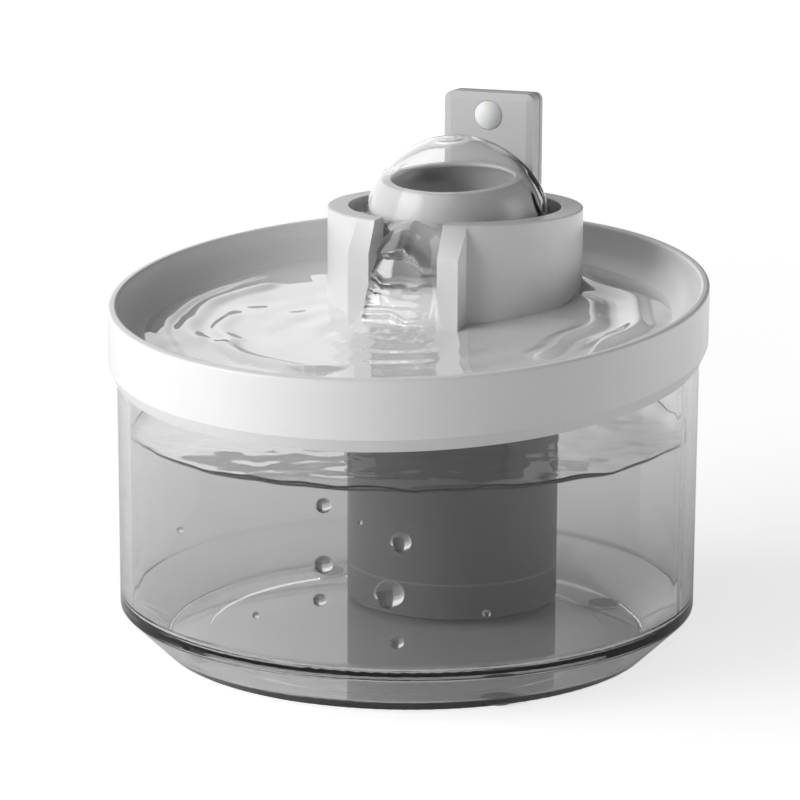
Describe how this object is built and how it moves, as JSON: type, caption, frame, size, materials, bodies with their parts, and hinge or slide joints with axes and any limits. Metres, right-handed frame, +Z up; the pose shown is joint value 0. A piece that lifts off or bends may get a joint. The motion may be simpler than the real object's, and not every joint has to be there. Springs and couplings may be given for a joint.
{
  "type": "pet water fountain",
  "caption": "Round pet water fountain: clear tank, leaning white drinking tray, collar with a spout, ball nozzle, sensor post, and a twist-off filter tower round its pump.",
  "frame": {"origin": "on the tank's axis, at the surface the fountain stands on", "axes": "+Z up, -Y towards the drinking side and the spout, +X to the right of someone who faces the drinking side from -Y"},
  "size_m": [0.1956, 0.1956, 0.1745],
  "materials": {
    "tank_clear": "clear, polished",
    "tray_white": "satin",
    "collar_white": "satin",
    "nozzle_white": "polished",
    "post_grey": "fine matt",
    "tower_grey": "fine matt",
    "pump_grey": "satin",
    "motor_dark": "potted resin",
    "cartridge_white": "satin",
    "carbon": "granular",
    "foam": "open-cell foam",
    "silicone": "translucent matt",
    "lead_dark": "satin",
    "lens_white": "diffusing",
    "board": "solder mask",
    "magnet": "sintered",
    "ceramic": "ground",
    "steel": "brushed"
  },
  "bodies": {
    "tank": {"tank": "tank_clear", "foot_pads": "silicone"},
    "tray": {"drinking_tray": "tray_white", "flow_collar": "collar_white", "collar_seal": "silicone", "collar_screws": "steel", "flow_diffuser": "tray_white", "riser_tube": "pump_grey", "outlet_seal": "silicone", "pump_housing": "pump_grey", "motor_block": "motor_dark", "pump_cover": "pump_grey", "pump_shaft": "ceramic", "shaft_bushes": "silicone", "pump_lead": "lead_dark", "post_shell": "post_grey", "post_gasket": "silicone", "post_cover": "post_grey", "power_inlet": "steel", "post_screws": "steel", "sensor_board": "board", "sensor_lens": "lens_white", "motion_sensor": "steel"},
    "nozzle": {"nozzle_cap": "nozzle_white"},
    "tower": {"tower_shell": "tower_grey", "tower_base": "tower_grey", "foam_disc": "foam", "filter_cartridge": "cartridge_white", "cartridge_lid": "cartridge_white", "carbon_bed": "carbon"},
    "impeller": {"impeller": "tray_white", "rotor_magnet": "magnet"}
  },
  "joints": [
    {"name": "tray_lift", "type": "slide", "parent": "tank", "child": "tray", "axis": [0, 0, 1], "range_m": [0, 0.13]},
    {"name": "nozzle_lift", "type": "slide", "parent": "tray", "child": "nozzle", "axis": [0, 0, 1], "range_m": [0, 0.02]},
    {"name": "tower_twist", "type": "hinge", "parent": "tray", "child": "tower", "pos_m": [0, 0.0409, 0.05], "axis": [0, 0, 1], "range_deg": [0, 20]},
    {"name": "impeller_spin", "type": "hinge", "parent": "tray", "child": "impeller", "pos_m": [0, 0.0349, 0.066], "axis": [1, 0, 0], "continuous": true}
  ]
}
